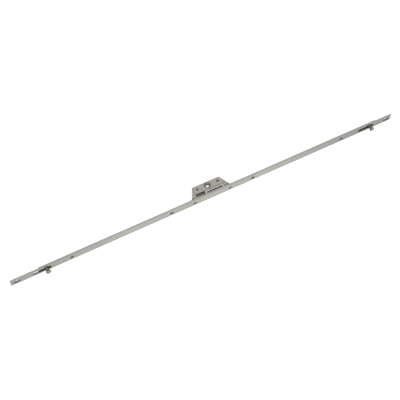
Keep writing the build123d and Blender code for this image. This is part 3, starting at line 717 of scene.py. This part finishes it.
def turned_plated_steel(finish, name, colour, centre, axis, roughness):
    """Turned on a lathe and plated: fine rings round the axis that draw the light into arcs."""
    material, tree, shader = metal(name)
    rings = turned_rings(tree, finish.turning_line, centre, axis)
    spots = grain(tree, finish.spot_size)
    dark, light = SPOT_SHARES
    tone = add_node(
        tree, "ShaderNodeMix",
        {0: spots.outputs["Fac"], 6: shade(colour, dark), 7: shade(colour, light)},
        data_type="RGBA",
    )
    dull = add_node(
        tree, "ShaderNodeMapRange",
        {
            "Value": rings.outputs["Fac"],
            "To Min": roughness - TURNED_SPREAD, "To Max": roughness + TURNED_SPREAD,
        },
    )
    add_shader(
        tree, shader, tone.outputs[2], dull.outputs["Result"], rings.outputs["Fac"],
        TURNING_RELIEF,
    )
    return material


def dress(node_name, material, edge_round):
    """Gives a CAD node its finish, and rounds its edges a little with modifiers."""
    piece = NODES[node_name]
    piece.data.materials.clear()
    piece.data.materials.append(material)
    weld = piece.modifiers.new("Join facets", "WELD")
    weld.merge_threshold = WELD_WITHIN
    planes = piece.modifiers.new("Clean planes", "DECIMATE")
    planes.decimate_type = "DISSOLVE"
    planes.angle_limit = FLAT_WITHIN
    rounding = piece.modifiers.new("Tumbled edges", "BEVEL")
    rounding.width = edge_round
    rounding.segments = 2
    rounding.limit_method = "ANGLE"
    rounding.angle_limit = ROUNDED_FROM
    rounding.harden_normals = True


def turn_piece(name, section, centre, axis, sides):
    """Turns a piece as on a lathe: a circle, extruded and scaled from point to point of its
    half section. Points are (radius, place along the axis). A bored piece's section ends
    where it starts, and a solid one's runs from end to end."""
    bpy.ops.object.select_all(action="DESELECT")
    along = Vector((0, 1, 0)) if axis == "Y" else Vector((0, 0, 1))
    turned = (math.pi / 2, 0, 0) if axis == "Y" else (0, 0, 0)
    bored = section[0] == section[-1]
    radius, place = section[0]
    bpy.ops.mesh.primitive_circle_add(
        vertices=sides, radius=radius, fill_type="NOTHING" if bored else "NGON",
        location=centre + along * place, rotation=turned,
    )
    piece = bpy.context.object
    piece.name = name
    bpy.ops.object.transform_apply(location=True, rotation=True, scale=True)
    bpy.ops.object.mode_set(mode="EDIT")
    bpy.ops.mesh.select_all(action="SELECT")
    for next_radius, next_place in section[1:]:
        share = next_radius / radius
        bpy.ops.mesh.extrude_region_move(
            TRANSFORM_OT_translate={"value": along * (next_place - place)}
        )
        bpy.ops.transform.resize(
            value=[1 if a else share for a in along],
            center_override=centre + along * next_place,
        )
        radius, place = next_radius, next_place
    bpy.ops.mesh.select_all(action="SELECT")
    bpy.ops.mesh.remove_doubles(threshold=MERGE_WITHIN)
    bpy.ops.mesh.normals_make_consistent(inside=False)
    bpy.ops.object.mode_set(mode="OBJECT")
    bpy.ops.object.shade_smooth_by_angle(angle=SHARP_FROM)
    return piece


def twin(piece, name, offset):
    """A copy of a piece with its own mesh, moved by an offset."""
    copy = piece.copy()
    copy.data = piece.data.copy()
    copy.name = name
    copy.data.transform(Matrix.Translation(offset))
    bpy.context.collection.objects.link(copy)
    return copy


def seat(piece, material, body, node_name):
    """Gives a new piece its finish and its body, and puts it in a CAD node's place."""
    piece.data.materials.clear()
    piece.data.materials.append(material)
    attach(piece, body)
    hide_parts(node_name)


def middle(node_name):
    """The middle of a node's box."""
    low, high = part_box(node_name)
    return (low + high) / 2


def faceplate_front():
    """The plane of the faceplate's front."""
    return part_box("faceplate")[0].y


def arc(centre, size, start, end, steps=6):
    """Points of a round stretch of a half section. Angles are in degrees, 0 points outwards."""
    angles = [math.radians(start + (end - start) * k / steps) for k in range(steps + 1)]
    return [(centre[0] + size * math.cos(a), centre[1] + size * math.sin(a)) for a in angles]


def dome(radius, rise, pole, steps=8):
    """Points of a shallow cap, from near its pole to its rim, which lies a rise further on."""
    sphere = (radius ** 2 + rise ** 2) / (2 * rise)
    side = math.copysign(1, rise)
    radii = [radius * k / steps for k in range(1, steps + 1)]
    return [(r, pole + sphere - side * math.sqrt(sphere ** 2 - r ** 2)) for r in radii]


def mushroom_section(sizes, foot, tip, head):
    """Half section of a mushroom: bore, stem, filleted neck, rounded head and recess."""
    stem, ease = sizes.stem_radius, sizes.ease
    neck = tip + sizes.head_thickness
    floor = tip + sizes.recess_depth
    fillet, back, front = sizes.neck_fillet, sizes.head_back_round, sizes.head_front_round
    return (
        [(sizes.bore_radius, foot), (stem - ease, foot), (stem, foot - ease)]
        + arc((stem + fillet, neck + fillet), fillet, 180, 270)
        + arc((head - back, neck - back), back, 90, 0)
        + arc((head - front, tip + front), front, 0, -90)
        + [(sizes.recess_radius + ease, tip), (sizes.recess_radius, tip + ease)]
        + [(sizes.recess_radius, floor), (sizes.bore_radius, floor), (sizes.bore_radius, foot)]
    )


def pin_section(sizes, front, rod_front, tail, tip):
    """Half section of a cam pin: low-domed head, axle, collar, shank and peened tail."""
    ease = sizes.ease
    under = tip + sizes.axle_head_thickness
    collar = front - sizes.collar_stand
    back = tail - sizes.peened_height
    peened = dome(sizes.peened_radius, back + ease - tail, tail)
    return (
        dome(sizes.axle_head_radius, sizes.axle_head_rise, tip)
        + [(sizes.axle_head_radius, under), (sizes.axle_radius, under)]
        + [(sizes.axle_radius, collar), (sizes.collar_radius - ease, collar)]
        + [(sizes.collar_radius, collar + ease), (sizes.collar_radius, rod_front)]
        + [(sizes.shank_radius, rod_front), (sizes.shank_radius, back)]
        + [(sizes.peened_radius - ease, back)] + peened[::-1]
    )


def rivet_section(sizes, bottom, top):
    """Half section of a case rivet: flush tail, shank, and a sunk head with a low dome."""
    shank, head, ease = sizes.rivet_radius, sizes.rivet_head_radius, sizes.rivet_ease
    crown = dome(head - ease, -sizes.rivet_crown, top + sizes.rivet_crown)
    return (
        [(shank - ease, bottom), (shank, bottom + ease)]
        + [(shank, top - sizes.rivet_head_height), (head, top - ease)] + crown[::-1]
    )


def foot_rivet_section(sizes, front, plate_back, foot):
    """Half section of a foot rivet: dished front disc, cone, post, shank and domed tail."""
    shank, post, ease = sizes.foot_shank_radius, sizes.post_radius, sizes.ease
    disc = shank + sizes.foot_sink_depth
    tail = sizes.foot_tail_radius
    back = foot + sizes.foot_thickness
    dish = dome(disc - 2 * ease, -sizes.foot_dish, front + sizes.foot_dish)
    crown = dome(tail, ease - sizes.foot_tail_height, back + sizes.foot_tail_height)
    return (
        dish + [(disc - ease, front), (disc, front + ease)]
        + [(shank, front + sizes.foot_sink_depth), (shank, plate_back)]
        + [(post, plate_back), (post, foot), (shank, foot), (shank, back)]
        + [(tail - ease, back)] + crown[::-1]
    )


def finish_of(context):
    """The finish settings of the scene."""
    return context.scene.espagnolette_finish


class DressFaceplate(bpy.types.Operator):
    """Give the faceplate its rolled and plated strip finish"""

    bl_idname = "espagnolette.dress_faceplate"
    bl_label = "Faceplate"

    def execute(self, context):
        finish = finish_of(context)
        strip = rolled_zinc_plated_strip(
            finish, "Rolled zinc-plated steel strip", "faceplate", finish.strip, 1.0
        )
        dress("faceplate", strip, finish.edge_round)
        return {"FINISHED"}


class DressDriveRod(bpy.types.Operator):
    """Give the drive rod its plated strip finish, darker on its front and edges with old grease
    where it slides and painted shade where it shows through the slots
    """

    bl_idname = "espagnolette.dress_drive_rod"
    bl_label = "Drive rod"

    def execute(self, context):
        finish = finish_of(context)
        # The rod's front and edges take the darker front colour: old grease, and painted shade seen
        # through the slots.
        strip = rolled_zinc_plated_strip(
            finish, "Rolled, greased and shaded steel rod", "drive_rod", finish.soiled_and_shaded, 0.0
        )
        dress("drive_rod", strip, finish.edge_round)
        return {"FINISHED"}


class DressGear(bpy.types.Operator):
    """Give the rack slide and the follower their greased steel, with painted shade low in the case
    """

    bl_idname = "espagnolette.dress_gear"
    bl_label = "Rack and follower"

    def execute(self, context):
        finish = finish_of(context)
        milled = greased_and_shaded_steel(finish, "Greased and shaded milled steel", finish.rack, finish.milling_mark)
        sintered = greased_and_shaded_steel(
            finish, "Oiled sintered steel", finish.follower, finish.sinter_pore
        )
        dress("rack_slide", milled, finish.edge_round)
        dress("spindle_follower", sintered, finish.edge_round)
        return {"FINISHED"}


class DressCase(bpy.types.Operator):
    """Give the two shells of the case and the rod guides their finishes"""

    bl_idname = "espagnolette.dress_case"
    bl_label = "Case and guides"

    def execute(self, context):
        finish = finish_of(context)
        casting = plated_zinc_casting(finish)
        dress("case_base", casting, finish.edge_round)
        dress("case_cover", brushed_zinc_plated_cover(finish), finish.edge_round)
        for number in range(1, 5):
            dress(f"rod_guide_{number}", casting, finish.edge_round)
        return {"FINISHED"}


class TurnRivets(bpy.types.Operator):
    """Make the case rivets and the foot rivets of peened steel"""

    bl_idname = "espagnolette.turn_rivets"
    bl_label = "Rivets"

    def execute(self, context):
        sizes = context.scene.espagnolette_turnings
        finish = finish_of(context)
        plated = peened_steel(finish, "Peened and plated steel", finish.rivet)
        worn = peened_steel(finish, "Peened rivet steel", finish.foot_rivet)
        self.turn_case_rivets(sizes, plated)
        self.turn_foot_rivets(sizes, worn)
        return {"FINISHED"}

    def turn_case_rivets(self, sizes, material):
        """Two rivets in the raised panel, and two shorter ones in the flanks."""
        low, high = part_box("case_rivets")
        head = sizes.rivet_head_radius
        rows = (
            ("rear", sizes.rear_rivet_x, high.y - head, high.z),
            ("flank", high.x - head, low.y + head, sizes.flank_top),
        )
        for row, x, y, top in rows:
            section = rivet_section(sizes, low.z, top)
            left = turn_piece(
                f"case_rivet_{row}_left", section, Vector((-x, y, 0)), "Z", sizes.sides
            )
            right = twin(left, f"case_rivet_{row}_right", Vector((2 * x, 0, 0)))
            for piece in (left, right):
                seat(piece, material, "plate_and_case", "case_rivets")

    def turn_foot_rivets(self, sizes, material):
        """One rivet through each foot, seen as a disc in the faceplate's front."""
        plate_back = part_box("faceplate")[1].y
        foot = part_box("case_base")[0].y
        tail_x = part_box("foot_rivets")[1].x - sizes.foot_shank_radius - sizes.foot_sink_depth
        section = foot_rivet_section(sizes, faceplate_front(), plate_back, foot)
        left = turn_piece(
            "foot_rivet_left", section, Vector((-tail_x, 0, 0)), "Y", sizes.sides
        )
        right = twin(left, "foot_rivet_right", Vector((2 * tail_x, 0, 0)))
        for piece in (left, right):
            seat(piece, material, "plate_and_case", "foot_rivets")


class TurnCams(bpy.types.Operator):
    """Turn the two mushrooms and the pins that carry them"""

    bl_idname = "espagnolette.turn_cams"
    bl_label = "Mushroom cams"

    def execute(self, context):
        finish = finish_of(context)
        sizes = context.scene.espagnolette_turnings
        left, right = middle("cam_roller_left"), middle("cam_roller_right")
        offset = Vector((right.x - left.x, 0, 0))
        axis_point = Vector((left.x, 0, left.z))
        low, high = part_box("cam_roller_left")
        section = mushroom_section(sizes, high.y, low.y, (high.x - low.x) / 2)
        mushroom = turn_piece("mushroom_left", section, axis_point, "Y", sizes.sides)
        low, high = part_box("cam_pin_left")
        rod_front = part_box("drive_rod")[0].y
        section = pin_section(sizes, faceplate_front(), rod_front, high.y, low.y)
        pin = turn_piece("pin_left", section, axis_point, "Y", sizes.sides)
        pairs = {
            "left": (mushroom, pin),
            "right": (twin(mushroom, "mushroom_right", offset), twin(pin, "pin_right", offset)),
        }
        for side, (head, axle) in pairs.items():
            centre = middle(f"cam_roller_{side}")
            oiled = turned_plated_steel(
                finish, f"Oiled turned steel {side}", finish.cam, centre, "Y",
                finish.cam_roughness,
            )
            # The pins' colour is painted lighter, as painted light on the collars in the shaded cam
            # slots.
            bare = turned_plated_steel(
                finish, f"Peened and turned pin {side}", finish.pin, centre, "Y",
                finish.pin_roughness,
            )
            seat(head, oiled, f"roller_{side}", f"cam_roller_{side}")
            seat(axle, bare, "drive", f"cam_pin_{side}")
        return {"FINISHED"}


class DressTurnedPieces(bpy.types.Operator):
    """Give the sleeves and washers their turned and plated steel"""

    bl_idname = "espagnolette.dress_turned_pieces"
    bl_label = "Sleeves and washers"

    def execute(self, context):
        finish = finish_of(context)
        for side in ("left", "right"):
            for kind, axis in (("fixing_sleeve", "Z"), ("cam_washer", "Y")):
                node_name = f"{kind}_{side}"
                turned = turned_plated_steel(
                    finish, f"Turned plated steel {kind} {side}", finish.turned,
                    middle(node_name), axis, finish.turned_roughness,
                )
                dress(node_name, turned, finish.edge_round)
        return {"FINISHED"}


def seen_directly(tree):
    """1 for a ray that shows the background itself or its reflection, 0 for one that lights."""
    path = add_node(tree, "ShaderNodeLightPath")
    mirrored = add_node(
        tree, "ShaderNodeMath",
        {0: path.outputs["Is Camera Ray"], 1: path.outputs["Is Glossy Ray"]},
        operation="MAXIMUM",
    )
    seen = add_node(
        tree, "ShaderNodeMath",
        {0: mirrored.outputs["Value"], 1: path.outputs["Is Transmission Ray"]},
        operation="MAXIMUM",
    )
    return seen.outputs["Value"]


def lay_floor(studio):
    """A plain pale floor under the lowest edge, which shows white and keeps the shadow."""
    bpy.ops.mesh.primitive_plane_add(
        size=2 * studio.floor_half, location=(0, 0, cad_box[0].z - studio.floor_drop)
    )
    floor = bpy.context.object
    floor.name = "studio_floor"
    bpy.ops.object.transform_apply(location=True, rotation=True, scale=True)
    material = bpy.data.materials.new("Matt white paper")
    material.use_nodes = True
    tree = material.node_tree
    tree.nodes.clear()
    paper = add_node(tree, "ShaderNodeBsdfDiffuse", {"Color": rgba(studio.floor)})
    glow = add_node(
        tree, "ShaderNodeMath", {0: seen_directly(tree), 1: studio.floor_glow},
        operation="MULTIPLY",
    )
    lift = add_node(
        tree, "ShaderNodeEmission", {"Color": WHITE, "Strength": glow.outputs["Value"]}
    )
    both = add_node(tree, "ShaderNodeAddShader", {0: paper.outputs["BSDF"], 1: lift.outputs[0]})
    add_node(tree, "ShaderNodeOutputMaterial", {"Surface": both.outputs["Shader"]})
    floor.data.materials.append(material)


def light_world(context, studio):
    """Even daylight for the object, and plain white where the world itself is seen."""
    world = bpy.data.worlds.new("Studio daylight")
    context.scene.world = world
    world.use_nodes = True
    tree = world.node_tree
    tree.nodes.clear()
    even = add_node(
        tree, "ShaderNodeBackground", {"Color": WHITE, "Strength": studio.daylight}
    )
    white = add_node(tree, "ShaderNodeBackground", {"Color": WHITE, "Strength": 1.0})
    mixed = add_node(
        tree, "ShaderNodeMixShader",
        {0: seen_directly(tree), 1: even.outputs["Background"], 2: white.outputs["Background"]},
    )
    add_node(tree, "ShaderNodeOutputWorld", {"Surface": mixed.outputs["Shader"]})


def hang_lamp(name, power, side, place, target):
    """A square soft lamp that faces the target."""
    light = bpy.data.lights.new(name, "AREA")
    light.energy = power
    light.size = side
    lamp = bpy.data.objects.new(name, light)
    lamp.location = place
    lamp.rotation_euler = (target - lamp.location).to_track_quat("-Z", "Y").to_euler()
    bpy.context.scene.collection.objects.link(lamp)


def set_camera(context, studio):
    """A camera at the photograph's angle, aimed beside the middle of the faceplate."""
    turn, height = studio.azimuth, studio.elevation
    back = Vector((
        math.sin(turn) * math.cos(height), -math.cos(turn) * math.cos(height), math.sin(height)
    ))
    right = Vector((math.cos(turn), math.sin(turn), 0))
    up = back.cross(right)
    place = right * studio.aim_across + up * studio.aim_up + back * studio.distance
    place.y += faceplate_front()
    lens = bpy.data.cameras.new("Studio camera")
    lens.sensor_width = 36
    lens.lens = lens.sensor_width / 2 / math.tan(studio.field / 2)
    lens.clip_start = 0.01
    lens.clip_end = 100
    camera = bpy.data.objects.new("Studio camera", lens)
    axes = Matrix((right, up, back)).transposed().to_4x4()
    camera.matrix_world = Matrix.Translation(place) @ axes
    context.scene.collection.objects.link(camera)
    context.scene.camera = camera


class BuildStudio(bpy.types.Operator):
    """Lay the floor, hang the lamps and set the camera"""

    bl_idname = "espagnolette.build_studio"
    bl_label = "Studio"

    def execute(self, context):
        studio = context.scene.espagnolette_studio
        lay_floor(studio)
        light_world(context, studio)
        centre = Vector((0, cad_box[0].y, 0))
        hang_lamp("Key lamp", studio.key_power, studio.key_side, studio.key_place, centre)
        hang_lamp("Fill lamp", studio.fill_power, studio.fill_side, studio.fill_place, centre)
        set_camera(context, studio)
        context.scene.view_settings.view_transform = "Standard"
        return {"FINISHED"}


class EspagnolettePanel(bpy.types.Panel):
    """The steps that dress the espagnolette"""

    bl_label = "Espagnolette"
    bl_idname = "VIEW3D_PT_espagnolette"
    bl_space_type = "VIEW_3D"
    bl_region_type = "UI"
    bl_category = "Espagnolette"

    def draw(self, context):
        column = self.layout.column()
        for operator in OPERATORS:
            column.operator(operator.bl_idname, text=operator.bl_label)


OPERATORS = (
    DressFaceplate, DressDriveRod, DressGear, DressCase, TurnRivets, TurnCams,
    DressTurnedPieces, BuildStudio,
)
SETTINGS = (EspagnoletteFinish, EspagnoletteTurnings, EspagnoletteStudio)
CLASSES = SETTINGS + OPERATORS + (EspagnolettePanel,)


def register():
    """Makes the classes and the settings known to Blender."""
    for cls in CLASSES:
        bpy.utils.register_class(cls)
    bpy.types.Scene.espagnolette_finish = bpy.props.PointerProperty(type=EspagnoletteFinish)
    bpy.types.Scene.espagnolette_turnings = bpy.props.PointerProperty(type=EspagnoletteTurnings)
    bpy.types.Scene.espagnolette_studio = bpy.props.PointerProperty(type=EspagnoletteStudio)


def unregister():
    """Takes the settings and the classes out of Blender again."""
    del bpy.types.Scene.espagnolette_studio
    del bpy.types.Scene.espagnolette_turnings
    del bpy.types.Scene.espagnolette_finish
    for cls in reversed(CLASSES):
        bpy.utils.unregister_class(cls)


def main():
    """Registers the add-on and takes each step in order."""
    register()
    bpy.ops.object.select_all(action="DESELECT")
    bpy.ops.espagnolette.dress_faceplate()
    bpy.ops.espagnolette.dress_drive_rod()
    bpy.ops.espagnolette.dress_gear()
    bpy.ops.espagnolette.dress_case()
    bpy.ops.espagnolette.turn_rivets()
    bpy.ops.espagnolette.turn_cams()
    bpy.ops.espagnolette.dress_turned_pieces()
    bpy.ops.espagnolette.build_studio()


if __name__ == "__main__":
    main()
